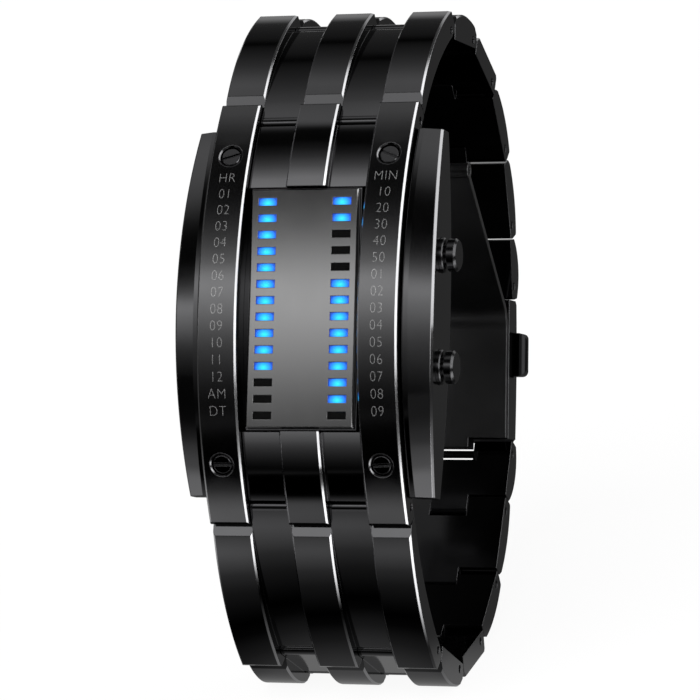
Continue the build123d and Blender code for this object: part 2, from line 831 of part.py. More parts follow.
def base_blade():
    """The inner blade in the drawing frame: straight down under the cover, then up beside the fold blade."""
    w = band_half - base_blade_inset
    near_out = -cover_depth - blade_gap
    near_in = near_out - blade_thickness
    tail = clasp_length - blade_tail_gap
    deep_out = blade_thickness + blade_gap
    deep_in = deep_out + blade_thickness
    stop = blade_length - blade_knuckle - blade_gap

    def slant(along, sunk):
        return ahead(ahead(blade_pivot, blade_heading, along), blade_heading + 90, sunk)

    def corner(out, sunk):
        """Where the straight stretch at a depth meets the slanting one."""
        base, top = clasp_point(0, out), clasp_point(clasp_length, out)
        run = (top[0] - base[0], top[1] - base[1])
        start, far = slant(0, sunk), slant(blade_length, sunk)
        way = (far[0] - start[0], far[1] - start[1])
        cross = run[0] * way[1] - run[1] * way[0]
        share = ((start[0] - base[0]) * way[1] - (start[1] - base[1]) * way[0]) / cross
        return (base[0] + share * run[0], base[1] + share * run[1])

    bend_out, bend_in = corner(near_out, deep_out), corner(near_in, deep_in)
    loop = [clasp_point(tail, near_out), bend_out, slant(stop, deep_out), slant(stop, deep_in), bend_in,
            clasp_point(tail, near_in)]
    closed = loop + [loop[0]]
    solid = drawn_across(side_face(list(zip(closed[:-1], closed[1:]))), -w, w)

    def bend_edge(point):
        return min(solid.edges().filter_by(Axis.X),
                   key=lambda e: math.hypot(e.center().Y - point[0], e.center().Z - point[1]))

    solid = fillet([bend_edge(bend_out)], blade_bend_radius)
    solid = fillet([bend_edge(bend_in)], blade_bend_radius - blade_thickness)
    tongue = fold_knuckle_half_width + blade_gap
    for side in (1, -1):
        span = tuple(sorted((side * tongue, side * w)))
        leaf = block((stop - overrun, blade_length), (deep_out, deep_in), span)
        leaf += Pos(blade_length, blade_sink, side * (tongue + w) / 2) * Cylinder(blade_knuckle, w - tongue)
        leaf -= rod(blade_pin_radius + pin_clearance, band_half, (blade_length, blade_sink))
        solid += place(leaf, blade_pivot, blade_heading)
    brow = clasp_length - pin_radius - bar_ear_gap
    ear_face = polygon(
        (tail - overrun, near_in), (brow - bar_ear_slope, near_in), (brow, -bar_ear_reach),
        (tail + blade_gap, -bar_ear_reach), (tail + blade_gap, near_out), (tail - overrun, near_out),
    )
    for low, high in recessed_columns:
        middle = (low + high) / 2
        ear = across(ear_face, middle - bar_ear_width / 2, middle + bar_ear_width / 2)
        solid += place(ear, upper_pins[-1], clasp_heading)
    half, foot = catch_length / 2, near_out - blade_thickness / 2
    catch = block((-half, half), (foot, near_out + catch_height), (-catch_half_width, catch_half_width))
    for side in (1, -1):
        notch = tuple(sorted((side * (catch_half_width - catch_neck), side * (catch_half_width + overrun))))
        catch -= block((-catch_length, catch_length), (near_out, near_out + catch_height - catch_head), notch)
    return solid + place(Pos(button_along, 0, 0) * catch, upper_pins[-1], clasp_heading)


nodes = {}


def add(name, *solids):
    nodes[name] = list(solids)


def build():
    add("case_body", case_body())
    add("case_back", case_back())
    add("case_back_seal", back_seal_ring(seat_gap))
    add("case_back_screws", *back_screws())
    low, high = raised_columns[0]
    add("hour_rail", dial_rail(low, high - seat_gap))
    low, high = raised_columns[2]
    add("minute_rail", dial_rail(low + seat_gap, high))
    add("rail_screws", *rail_screws())
    add("left_side_cover", side_cover(-1))
    add("right_side_cover", side_cover(1))
    add("upper_end_link", end_link(1))
    add("lower_end_link", end_link(-1))
    add("led_plate", led_plate())
    add("plate_seal", plate_seal())
    add("lit_leds", *leds(True))
    add("dark_leds", *leds(False))
    add("led_board", led_board())
    add("movement_frame", movement_frame())
    add("coin_cell", coin_cell())
    add("cell_clip", cell_clip())
    add("switch_contacts", *switch_contacts())
    bar = Rot(0, 90, 0) * Cylinder(pin_radius, 2 * (band_half - pin_inset))
    add("case_spring_bars", *[Pos(0, lug_pin[0], side * lug_pin[1]) * bar for side in (1, -1)])
    for name, z in (("upper", pusher_height), ("lower", -pusher_height)):
        add(name + "_pusher", pusher(z))
        add(name + "_pusher_spring", pusher_spring(z))
    add("pusher_collars", pusher_collar(pusher_height), pusher_collar(-pusher_height))
    add("pusher_seals", pusher_seal(pusher_height), pusher_seal(-pusher_height))

    halves = (
        ("upper", upper_pins, upper_headings, upper_lengths, 1),
        ("lower", lower_pins, lower_headings, lower_lengths, -1),
    )
    for half, pins, headings, lengths, side in halves:
        for i, length in enumerate(lengths):
            arch = long_link_arch if i == 0 else 0.0
            crown = 0.0 if i == standing_link or i == 0 else link_crown
            tip = stand_neighbour_tip if i == standing_link - 1 else tip_bevel
            add(f"{half}_link_{i + 1}", place(link(length, arch, crown, tip), pins[i], headings[i], side))
            add(f"{half}_link_pin_{i + 1}", place(link_pin(length), pins[i], headings[i], side))

    start = upper_pins[-1]
    add("clasp_cover", place(clasp_cover(), start, clasp_heading))
    add("clasp_fold_blade", place(fold_blade(), blade_pivot, blade_heading))
    add("clasp_base_blade", base_blade())
    pivot_half = band_half - cover_wall / 2 - knuckle_gap
    pivot = rod(blade_pin_radius, pivot_half, (blade_pivot_along, -blade_pivot_depth))
    add("clasp_pivot_pin", place(pivot, start, clasp_heading))
    hinge = rod(blade_pin_radius, band_half - base_blade_inset - pin_inset, (blade_length, blade_sink))
    add("clasp_hinge_pin", place(hinge, blade_pivot, blade_heading))
    for name, side in (("right", 1), ("left", -1)):
        add(f"{name}_clasp_button", place(clasp_button(side), start, clasp_heading))
        add(f"{name}_clasp_spring", place(clasp_spring(side), start, clasp_heading))


def write():
    os.makedirs("parts", exist_ok=True)
    settle = Rot(-standing_heading, 0, 0) * Pos(0, -stand[0], -stand[1])
    for name, solids in nodes.items():
        pieces = [piece for solid in solids for piece in solid.solids()]
        pieces = [piece.moved(settle) for piece in pieces]
        whole = pieces[0] if len(pieces) == 1 else Compound(children=pieces)
        export_step(whole, f"parts/{name}.step")


build()
write()
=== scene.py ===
import json
import math
import bpy
from mathutils import Matrix, Vector


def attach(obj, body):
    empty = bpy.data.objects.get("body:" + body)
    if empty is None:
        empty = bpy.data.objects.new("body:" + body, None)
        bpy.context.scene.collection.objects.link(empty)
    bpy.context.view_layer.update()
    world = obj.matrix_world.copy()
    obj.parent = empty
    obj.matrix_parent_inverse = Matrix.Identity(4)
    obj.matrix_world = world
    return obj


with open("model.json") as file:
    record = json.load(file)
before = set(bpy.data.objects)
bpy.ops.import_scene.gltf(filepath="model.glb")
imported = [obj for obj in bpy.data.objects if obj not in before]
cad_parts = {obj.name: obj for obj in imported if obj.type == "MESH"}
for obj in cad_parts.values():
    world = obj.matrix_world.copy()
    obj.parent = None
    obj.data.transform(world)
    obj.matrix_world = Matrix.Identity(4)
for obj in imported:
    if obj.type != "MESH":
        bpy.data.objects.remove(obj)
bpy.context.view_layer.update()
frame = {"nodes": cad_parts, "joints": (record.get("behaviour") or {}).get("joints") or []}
nodes = frame["nodes"]
print("frame loaded", len(nodes))

# The case leans back in the frame: its own axes come from the hinges of the first links

caseSettings = {"railRadius": 0.045, "raised": 0.00195, "columnWidth": 0.0046}
joints = {joint["name"]: joint for joint in frame["joints"]}
upperLug = Vector(joints["upper_link_1_hinge"]["pos_m"])
lowerLug = Vector(joints["lower_link_1_hinge"]["pos_m"])
caseUp = (upperLug - lowerLug).normalized()
caseBack = Vector((0, caseUp.z, -caseUp.y))
lean = math.atan2(caseUp.y, caseUp.z)
halfLug = (upperLug - lowerLug).length / 2
lugRadius = caseSettings["railRadius"] - caseSettings["raised"]
lugDepth = caseSettings["railRadius"] - math.sqrt(lugRadius ** 2 - halfLug ** 2)
faceMiddle = (upperLug + lowerLug) / 2 - caseBack * lugDepth  # front of the rails at mid height
print("case leans back by", round(math.degrees(lean), 2))

# Node helpers


def link(tree, value, socket):
    if isinstance(value, (int, float, tuple)):
        socket.default_value = value
    else:
        tree.links.new(value, socket)


def mathNode(tree, operation, *values):
    node = tree.nodes.new("ShaderNodeMath")
    node.operation = operation
    for value, socket in zip(values, node.inputs):
        link(tree, value, socket)
    return node.outputs[0]


def mapRange(tree, value, start, end, low=0.0, high=1.0, smooth=False):
    node = tree.nodes.new("ShaderNodeMapRange")
    node.interpolation_type = "SMOOTHSTEP" if smooth else "LINEAR"
    for name, setting in (("From Min", start), ("From Max", end), ("To Min", low), ("To Max", high)):
        link(tree, setting, node.inputs[name])
    link(tree, value, node.inputs["Value"])
    return node.outputs["Result"]


def ramp(tree, value, stops):
    node = tree.nodes.new("ShaderNodeValToRGB")
    elements = node.color_ramp.elements
    while len(elements) < len(stops):
        elements.new(0.5)
    for element, (place, colour) in zip(elements, stops):
        element.position = place
        element.color = (*colour, 1.0)
    tree.links.new(value, node.inputs["Fac"])
    return node.outputs["Color"]


def greyRamp(tree, value, span, top, stops):
    # stops are (place, level) pairs, places up to span and levels up to top
    return ramp(tree, mathNode(tree, "DIVIDE", value, span), [(p / span, (v / top,) * 3) for p, v in stops])


def noise(tree, vector, scale, detail=4.0, rough=0.55):
    node = tree.nodes.new("ShaderNodeTexNoise")
    link(tree, scale, node.inputs["Scale"])
    node.inputs["Detail"].default_value = detail
    node.inputs["Roughness"].default_value = rough
    tree.links.new(vector, node.inputs["Vector"])
    return node.outputs["Fac"]


def caseCoords(tree):
    # Object coordinates turned upright with the case: x to the pushers, y into the loop, z to twelve
    coords = tree.nodes.new("ShaderNodeTexCoord")
    mapping = tree.nodes.new("ShaderNodeMapping")
    upright = Matrix.Rotation(lean, 4, "X") @ Matrix.Translation(-faceMiddle)
    mapping.inputs["Location"].default_value = upright.to_translation()
    mapping.inputs["Rotation"].default_value = (lean, 0, 0)
    tree.links.new(coords.outputs["Object"], mapping.inputs["Vector"])
    return mapping.outputs["Vector"]


def multiplied(tree, vector, factor):
    node = tree.nodes.new("ShaderNodeVectorMath")
    node.operation = "MULTIPLY"
    tree.links.new(vector, node.inputs[0])
    link(tree, factor, node.inputs[1])
    return node.outputs[0]


def split(tree, vector):
    node = tree.nodes.new("ShaderNodeSeparateXYZ")
    tree.links.new(vector, node.inputs[0])
    return node.outputs["X"], node.outputs["Y"], node.outputs["Z"]


def mixColour(tree, factor, a, b):
    node = tree.nodes.new("ShaderNodeMix")
    node.data_type = "RGBA"
    link(tree, factor, node.inputs["Factor"])
    for value, socket in ((a, node.inputs[6]), (b, node.inputs[7])):
        link(tree, value, socket)
    return node.outputs[2]


def bump(tree, height, strength, distance, under=None):
    node = tree.nodes.new("ShaderNodeBump")
    link(tree, strength, node.inputs["Strength"])
    node.inputs["Distance"].default_value = distance
    tree.links.new(height, node.inputs["Height"])
    if under is not None:
        tree.links.new(under, node.inputs["Normal"])
    return node.outputs["Normal"]


# Shared effects, each a node group. A noise keeps to the middle of its range, so that is what gets spread.

noiseSettings = {
    "low": 0.3, "high": 0.7, "cloudLow": 0.25, "cloudHigh": 0.75,
    "smearDetail": 6.0, "grainDetail": 3.0, "grainRough": 0.7, "speckleDetail": 5.0,
    "grainDepth": 0.00002, "speckleDepth": 0.00005,
}


def spread(tree, value, low=0.0, high=1.0):
    return mapRange(tree, value, noiseSettings["low"], noiseSettings["high"], low, high)


def newGroup(name, inputs, outputs):
    group = bpy.data.node_groups.new(name, "ShaderNodeTree")
    for direction, sockets in (("INPUT", inputs), ("OUTPUT", outputs)):
        for label, kind in sockets:
            group.interface.new_socket(name=label, in_out=direction, socket_type="NodeSocket" + kind)
    return group, group.nodes.new("NodeGroupInput"), group.nodes.new("NodeGroupOutput")


def makeGrainGroup():
    # Tone in clouds, roughness in smears, and fine drawn lines
    group, given, out = newGroup(
        "metalGrain",
        (("Cloud Scale", "Float"), ("Smear Scale", "Float"), ("Grain Scale", "Float"),
         ("Grain Stretch", "Vector"), ("Rough Low", "Float"), ("Rough High", "Float"),
         ("Grain Rough", "Float"), ("Bump", "Float"), ("Normal", "Vector")),
        (("Cloud", "Float"), ("Roughness", "Float"), ("Normal", "Vector")),
    )
    coords = caseCoords(group)
    cloud = noise(group, coords, given.outputs["Cloud Scale"])
    smear = noise(group, coords, given.outputs["Smear Scale"], noiseSettings["smearDetail"])
    drawn = multiplied(group, coords, given.outputs["Grain Stretch"])
    detail, rough = noiseSettings["grainDetail"], noiseSettings["grainRough"]
    lines = noise(group, drawn, given.outputs["Grain Scale"], detail, rough)
    rough = spread(group, smear, given.outputs["Rough Low"], given.outputs["Rough High"])
    swing = mathNode(group, "SUBTRACT", lines, 0.5)
    rough = mathNode(group, "MULTIPLY_ADD", swing, given.outputs["Grain Rough"], rough)
    cloud = mapRange(group, cloud, noiseSettings["cloudLow"], noiseSettings["cloudHigh"])
    raised = bump(group, lines, given.outputs["Bump"], noiseSettings["grainDepth"], given.outputs["Normal"])
    group.links.new(cloud, out.inputs["Cloud"])
    group.links.new(rough, out.inputs["Roughness"])
    group.links.new(raised, out.inputs["Normal"])
    return group


# Where a face counts as a bevel for the painted highlight, by how far it is turned sideways.
# The shift puts the columns' edges at whole numbers and keeps their count above zero.

bevelSettings = {"start": 0.5, "whole": 0.62, "fade": 0.86, "end": 0.95, "columnShift": 20.5}


def makeBevelHighlightGroup():
    # Paints a highlight on the long bevels: a lighter colour in place of the bright lines that lamps would
    # draw along them.
    # Reach is how far from the edge of a bracelet column it goes, as a share of the column's width.
    group, given, out = newGroup(
        "bevelPaintedHighlight",
        (("Colour", "Color"), ("Highlight Colour", "Color"), ("Amount", "Float"), ("Reach", "Float")),
        (("Colour", "Color"),),
    )
    coords = group.nodes.new("ShaderNodeTexCoord")
    sideways = mathNode(group, "ABSOLUTE", split(group, coords.outputs["Normal"])[0])
    rise = mapRange(group, sideways, bevelSettings["start"], bevelSettings["whole"], smooth=True)
    fall = mapRange(group, sideways, bevelSettings["fade"], bevelSettings["end"], 1.0, 0.0, smooth=True)
    across = split(group, coords.outputs["Object"])[0]
    perMetre = 1 / caseSettings["columnWidth"]
    columns = mathNode(group, "MULTIPLY_ADD", across, perMetre, bevelSettings["columnShift"])
    fromEdge = mathNode(group, "PINGPONG", columns, 0.5)
    atEdge = mathNode(group, "LESS_THAN", fromEdge, given.outputs["Reach"])
    mask = mathNode(group, "MULTIPLY", mathNode(group, "MULTIPLY", rise, fall), given.outputs["Amount"])
    mask = mathNode(group, "MULTIPLY", mask, atEdge)
    highlighted = mixColour(group, mask, given.outputs["Colour"], given.outputs["Highlight Colour"])
    group.links.new(highlighted, out.inputs["Colour"])
    return group


def makeMouldedGroup():
    # Speckle of rubber, plastic, board and print
    group, given, out = newGroup(
        "moulded",
        (("Scale", "Float"), ("Dark", "Color"), ("Light", "Color"), ("Rough Low", "Float"),
         ("Rough High", "Float"), ("Bump", "Float")),
        (("Colour", "Color"), ("Roughness", "Float"), ("Normal", "Vector")),
    )
    speckle = noise(group, caseCoords(group), given.outputs["Scale"], noiseSettings["speckleDetail"])
    tone = mixColour(group, spread(group, speckle), given.outputs["Dark"], given.outputs["Light"])
    rough = spread(group, speckle, given.outputs["Rough Low"], given.outputs["Rough High"])
    raised = bump(group, speckle, given.outputs["Bump"], noiseSettings["speckleDepth"])
    group.links.new(tone, out.inputs["Colour"])
    group.links.new(rough, out.inputs["Roughness"])
    group.links.new(raised, out.inputs["Normal"])
    return group


grainGroup = makeGrainGroup()
bevelHighlightGroup = makeBevelHighlightGroup()
mouldedGroup = makeMouldedGroup()
print("node groups done")


def newMaterial(name):
    material = bpy.data.materials.new(name)
    material.use_nodes = True
    tree = material.node_tree
    tree.nodes.clear()
    out = tree.nodes.new("ShaderNodeOutputMaterial")
    shader = tree.nodes.new("ShaderNodeBsdfPrincipled")
    tree.links.new(shader.outputs["BSDF"], out.inputs["Surface"])
    return material, tree, shader


def placeGroup(tree, group, values):
    node = tree.nodes.new("ShaderNodeGroup")
    node.node_tree = group
    for name, value in values.items():
        node.inputs[name].default_value = (*value, 1.0) if node.inputs[name].type == "RGBA" else value
    return node


# Metals


def leanedNormal(tree, under, settings):
    # Leans the reflections up and down the case, more than the plain mesh does.
    # It starts "flat" away from the centre height and takes "grow" to reach its slope.
    height = split(tree, caseCoords(tree))[2]
    away = mathNode(tree, "ABSOLUTE", mathNode(tree, "SUBTRACT", height, settings["centre"]))
    away = mathNode(tree, "MAXIMUM", mathNode(tree, "SUBTRACT", away, settings["flat"]), 0.0)
    squares = mathNode(tree, "ADD", mathNode(tree, "POWER", away, 2.0), settings["grow"] ** 2)
    bent = mathNode(tree, "SUBTRACT", mathNode(tree, "SQRT", squares), settings["grow"])
    return bump(tree, mathNode(tree, "MULTIPLY", bent, -settings["slope"]), 1.0, 1.0, under)


def makeMetal(name, settings):
    material, tree, shader = newMaterial(name)
    grain = placeGroup(tree, grainGroup, settings["grain"])
    soft = tree.nodes.new("ShaderNodeBevel")
    soft.samples = 6
    soft.inputs["Radius"].default_value = settings["edge"]
    under = soft.outputs["Normal"]
    if settings["crown"]:
        under = leanedNormal(tree, under, settings["crown"])
    tree.links.new(under, grain.inputs["Normal"])
    dark, light = [(*colour, 1.0) for colour in settings["colours"]]
    tone = mixColour(tree, grain.outputs["Cloud"], dark, light)
    # Painted highlight: the sideways bevels get a lighter colour
    paintedHighlight = placeGroup(tree, bevelHighlightGroup, {
        "Highlight Colour": settings["bevel"], "Amount": settings["paintedHighlight"], "Reach": settings["reach"],
    })
    tree.links.new(tone, paintedHighlight.inputs["Colour"])
    tree.links.new(paintedHighlight.outputs["Colour"], shader.inputs["Base Color"])
    tree.links.new(grain.outputs["Roughness"], shader.inputs["Roughness"])
    tree.links.new(grain.outputs["Normal"], shader.inputs["Normal"])
    shader.inputs["Metallic"].default_value = 1.0
    return material


steelSettings = {
    "colours": ((0.1, 0.1, 0.103), (0.12, 0.12, 0.124)),
    # The bevel colour is the painted highlight on the sideways bevels
    "bevel": (0.42, 0.42, 0.43),
    "paintedHighlight": 1.0,
    "reach": 0.08,
    "edge": 0.00012,
    "crown": None,
    "grain": {
        "Cloud Scale": 60.0, "Smear Scale": 140.0,
        "Grain Scale": 9000.0, "Grain Stretch": (1.0, 0.08, 0.08),
        "Rough Low": 0.07, "Rough High": 0.11, "Grain Rough": 0.02, "Bump": 0.02,
    },
}
railSettings = dict(
    steelSettings, colours=((0.145, 0.145, 0.148), (0.175, 0.175, 0.18)),
    crown={"centre": -0.02, "flat": 0.025, "slope": -1.0, "grow": 0.11},
    grain=dict(steelSettings["grain"], **{
        "Rough Low": 0.13, "Rough High": 0.17, "Grain Scale": 14000.0, "Grain Stretch": (1.0, 0.6, 0.6),
        "Bump": 0.12,
    }),
)
upperEndSettings = dict(steelSettings, crown={"centre": 0.03, "flat": 0.0085, "slope": 0.3, "grow": 0.0015})
lowerEndSettings = dict(steelSettings, crown={"centre": -0.03, "flat": 0.0085, "slope": 1.0, "grow": 0.02})
# The covers get a weaker painted highlight, over the whole of each sideways face
coverSettings = dict(steelSettings, paintedHighlight=0.4, reach=1.0)
# Darker copies of the steel for the pushers and clasp buttons: painted shade, so they stay dark where the
# bright light on the right would show in them
pusherSettings = dict(
    steelSettings, colours=((0.05, 0.05, 0.052), (0.07, 0.07, 0.072)), paintedHighlight=0.0,
    grain=dict(steelSettings["grain"], **{"Rough Low": 0.12, "Rough High": 0.2}),
)
buttonSettings = dict(pusherSettings, colours=((0.014, 0.014, 0.0145), (0.02, 0.02, 0.0205)))
innerSettings = dict(
    steelSettings, colours=((0.11, 0.11, 0.112), (0.15, 0.15, 0.153)), paintedHighlight=0.0,
    grain=dict(steelSettings["grain"], **{
        "Rough Low": 0.28, "Rough High": 0.38, "Grain Rough": 0.06, "Bump": 0.05,
    }),
)
plateSettings = {
    "colours": ((0.3, 0.3, 0.302), (0.335, 0.335, 0.337)),
    "bevel": (0.5, 0.5, 0.5),
    "paintedHighlight": 0.0,
    "reach": 0.0,
    "edge": 0.0001,
    "crown": {"centre": -0.0032, "flat": 0.0, "slope": 1.0, "grow": 0.085},
    "grain": {
        "Cloud Scale": 80.0, "Smear Scale": 160.0,
        "Grain Scale": 12000.0, "Grain Stretch": (1.0, 1.0, 0.012),
        "Rough Low": 0.2, "Rough High": 0.25, "Grain Rough": 0.06, "Bump": 0.1,
    },
}
bareSettings = dict(
    steelSettings, colours=((0.42, 0.42, 0.43), (0.56, 0.56, 0.57)), paintedHighlight=0.0,
    grain=dict(plateSettings["grain"], **{"Cloud Scale": 120.0, "Rough Low": 0.22, "Rough High": 0.3}),
)
darkPinSettings = dict(bareSettings, colours=((0.03, 0.03, 0.031), (0.045, 0.045, 0.047)))
brassSettings = dict(bareSettings, colours=((0.62, 0.44, 0.18), (0.78, 0.58, 0.27)))

# Rubber, plastic, board and print


def makeMoulded(name, settings, specular=0.4, metallic=0.0):
    material, tree, shader = newMaterial(name)
    node = placeGroup(tree, mouldedGroup, settings)
    for output, socket in (("Colour", "Base Color"), ("Roughness", "Roughness"), ("Normal", "Normal")):
        tree.links.new(node.outputs[output], shader.inputs[socket])
    shader.inputs["Specular IOR Level"].default_value = specular
    shader.inputs["Metallic"].default_value = metallic
    return material


rubberSettings = {
    "Scale": 4000.0, "Dark": (0.012, 0.012, 0.013), "Light": (0.03, 0.03, 0.031),
    "Rough Low": 0.6, "Rough High": 0.75, "Bump": 0.3,
}
boardSettings = {
    "Scale": 2500.0, "Dark": (0.01, 0.05, 0.022), "Light": (0.02, 0.09, 0.04),
    "Rough Low": 0.3, "Rough High": 0.45, "Bump": 0.2,
}
plasticSettings = {
    "Scale": 3000.0, "Dark": (0.03, 0.03, 0.033), "Light": (0.05, 0.05, 0.054),
    "Rough Low": 0.45, "Rough High": 0.6, "Bump": 0.25,
}
inkSettings = {
    "Scale": 6000.0, "Dark": (0.27, 0.27, 0.27), "Light": (0.33, 0.33, 0.33),
    "Rough Low": 0.22, "Rough High": 0.3, "Bump": 0.2,
}
darkLedSettings = {
    "Scale": 5000.0, "Dark": (0.001, 0.001, 0.001), "Light": (0.003, 0.003, 0.003),
    "Rough Low": 0.5, "Rough High": 0.65, "Bump": 0.05,
}

# Lit windows: brightest low in the middle of each one

ledSettings = {
    "column": 0.0043, "pitch": 0.00183, "width": 0.00215, "height": 0.00086,
    "lowered": 0.35, "flatness": 0.3, "rowShift": 50.0,
    "strength": 1.2, "speckScale": 3000.0, "speckSwing": 0.04, "roughLow": 0.2, "roughHigh": 0.3,
    "glow": (
        (0.0, (0.0, 0.74, 1.0)), (0.3, (0.0, 0.56, 1.0)), (0.6, (0.0, 0.3, 0.95)), (0.85, (0.0, 0.13, 0.75)),
        (1.0, (0.0, 0.05, 0.45)),
    ),
    "body": ((0.0, (0.01, 0.05, 0.12)), (1.0, (0.0, 0.01, 0.06))),
}


def makeLitLed(name, settings):
    material, tree, shader = newMaterial(name)
    x, y, z = split(tree, caseCoords(tree))
    across = mathNode(tree, "SUBTRACT", mathNode(tree, "ABSOLUTE", x), settings["column"])
    across = mathNode(tree, "DIVIDE", across, settings["width"] / 2)
    rows = mathNode(tree, "ADD", mathNode(tree, "DIVIDE", z, settings["pitch"]), settings["rowShift"])
    rise = mathNode(tree, "SUBTRACT", mathNode(tree, "FRACT", rows), 0.5)
    rise = mathNode(tree, "MULTIPLY", rise, 2 * settings["pitch"] / settings["height"])
    rise = mathNode(tree, "ADD", rise, settings["lowered"])
    square = mathNode(tree, "MULTIPLY", mathNode(tree, "POWER", rise, 2.0), settings["flatness"])
    far = mathNode(tree, "SQRT", mathNode(tree, "ADD", mathNode(tree, "POWER", across, 2.0), square))
    speck = noise(tree, caseCoords(tree), settings["speckScale"])
    far = mathNode(tree, "ADD", far, spread(tree, speck, -settings["speckSwing"], settings["speckSwing"]))
    tree.links.new(ramp(tree, far, settings["glow"]), shader.inputs["Emission Color"])
    shader.inputs["Emission Strength"].default_value = settings["strength"]
    tree.links.new(ramp(tree, far, settings["body"]), shader.inputs["Base Color"])
    rough = spread(tree, speck, settings["roughLow"], settings["roughHigh"])
    tree.links.new(rough, shader.inputs["Roughness"])
    return material


steel = makeMetal("blackSteel", steelSettings)
upperEndSteel = makeMetal("upperEndSteel", upperEndSettings)
lowerEndSteel = makeMetal("lowerEndSteel", lowerEndSettings)
coverSteel = makeMetal("coverSteel", coverSettings)
pusherShadedSteel = makeMetal("pusherShadedSteel", pusherSettings)
buttonShadedSteel = makeMetal("buttonShadedSteel", buttonSettings)
railSteel = makeMetal("railSteel", railSettings)
innerSteel = makeMetal("innerSteel", innerSettings)
plate = makeMetal("darkPlate", plateSettings)
bare = makeMetal("bareSteel", bareSettings)
darkPin = makeMetal("darkPin", darkPinSettings)
brass = makeMetal("brass", brassSettings)
rubber = makeMoulded("rubber", rubberSettings)
board = makeMoulded("board", boardSettings)
plastic = makeMoulded("plastic", plasticSettings)
ink = makeMoulded("etchedGrey", inkSettings, metallic=0.75)
darkLed = makeMoulded("darkLed", darkLedSettings, specular=0.05)
litLed = makeLitLed("litLed", ledSettings)

finishes = {
    "hour_rail": railSteel, "minute_rail": railSteel,
    "led_plate": plate, "lit_leds": litLed, "dark_leds": darkLed,
    "case_back": innerSteel, "case_back_screws": darkPin, "case_back_seal": rubber, "plate_seal": rubber,
    "pusher_seals": rubber, "led_board": board, "movement_frame": plastic,
    "coin_cell": bare, "cell_clip": bare,
    "switch_contacts": brass, "case_spring_bars": darkPin, "clasp_fold_blade": innerSteel,
    "clasp_base_blade": innerSteel, "clasp_pivot_pin": darkPin, "clasp_hinge_pin": darkPin,
    "upper_end_link": upperEndSteel, "lower_end_link": lowerEndSteel,
    "left_side_cover": coverSteel, "right_side_cover": coverSteel,
    "pusher_collars": pusherShadedSteel, "upper_pusher": pusherShadedSteel, "lower_pusher": pusherShadedSteel,
    "left_clasp_button": buttonShadedSteel, "right_clasp_button": buttonShadedSteel,
    "upper_pusher_spring": bare, "lower_pusher_spring": bare,
    "left_clasp_spring": bare, "right_clasp_spring": bare,
}
for half in ("upper", "lower"):
    for i in range(1, 7):
        finishes[f"{half}_link_pin_{i}"] = darkPin
for name, obj in nodes.items():
    obj.data.materials.clear()
    obj.data.materials.append(finishes.get(name, steel))
print("materials done")

# Scale numbers

textSettings = {
    "size": 0.00166, "depth": 0.000012, "lift": 0.000004, "pitch": 0.001868, "first": 0.01464,
    "column": 0.0092, "wide": 0.9, "spacing": 1.08, "thinning": 0.022,
}
hourLabels = ["HR"] + [f"{n:02d}" for n in range(1, 13)] + ["AM", "DT"]
minuteLabels = ["MIN", "10", "20", "30", "40", "50"] + [f"{n:02d}" for n in range(1, 10)]


def deselect():
    for obj in bpy.context.selected_objects:
        obj.select_set(False)


def addLabel(text, x, height):
    # One number, laid on the round front of its rail
    deselect()
    bpy.ops.object.text_add()
    label = bpy.context.object
    label.data.body = text
    label.data.size = textSettings["size"]
    label.data.extrude = textSettings["depth"]
    label.data.offset = -textSettings["thinning"] * textSettings["size"]
    label.data.align_x = "CENTER"
    label.data.align_y = "CENTER"
    label.data.space_character = textSettings["spacing"]
    bpy.ops.object.convert(target="MESH")
    label = bpy.context.object
    railRadius = caseSettings["railRadius"]
    turn = math.asin(height / railRadius)
    outward = caseUp * math.sin(turn) - caseBack * math.cos(turn)
    up = caseUp * math.cos(turn) + caseBack * math.sin(turn)
    axis = faceMiddle + caseBack * railRadius
    place = Vector((x, axis.y, axis.z)) + outward * (railRadius + textSettings["lift"])
    label.data.transform(Matrix((
        (textSettings["wide"], 0, 0, place.x),
        (0, up.y, outward.y, place.y),
        (0, up.z, outward.z, place.z),
        (0, 0, 0, 1),
    )))
    return label


def addScale(name, labels, x):
    first, pitch = textSettings["first"], textSettings["pitch"]
    made = [addLabel(text, x, first - i * pitch) for i, text in enumerate(labels)]
    deselect()
    for label in made:
        label.select_set(True)
    bpy.context.view_layer.objects.active = made[0]
    bpy.ops.object.join()
    piece = bpy.context.object
    piece.name = name
    piece.data.materials.clear()
    piece.data.materials.append(ink)
    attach(piece, "case")


addScale("hourScale", hourLabels, -textSettings["column"])
addScale("minuteScale", minuteLabels, textSettings["column"])
print("scales done")

# Floor: white to the eye, and a graded table in the metal's reflections.
# Rings are pairs of a distance in metres and a level of light.
# Other pairs are where a part of the table starts to show and where it is whole.

floorSettings = {
    "size": 8.0,
    "drop": 0.00002,
    "colour": 0.92,
    "whiteShare": 0.93,
    "span": 0.35,
    "top": 1.2,
    "rings": (
        (0.0, 0.35), (0.015, 0.32), (0.0215, 0.08), (0.0258, 0.01), (0.029, 0.0), (0.0325, 0.02),
        (0.039, 0.06), (0.0465, 0.17), (0.0535, 0.41), (0.061, 0.75), (0.073, 1.15), (0.096, 1.1),
        (0.108, 0.6), (0.145, 0.4), (0.164, 0.22), (0.25, 0.12), (0.35, 0.08),
    ),
    "corridor": 0.035,
    "corridorSides": (0.045, 0.07),
    "corridorNear": (-0.086, -0.04),
    "leftFade": (-0.2, -0.06),
    "leftShare": 0.15,
    "front": (0.02, -0.01),
    "backLevel": 0.07,
    "rightLevel": 2.2,
    "rightEdges": ((0.018, 0.034), (0.2, 0.12)),
    "rightDepths": ((-0.06, -0.045), (-0.012, -0.02)),
}


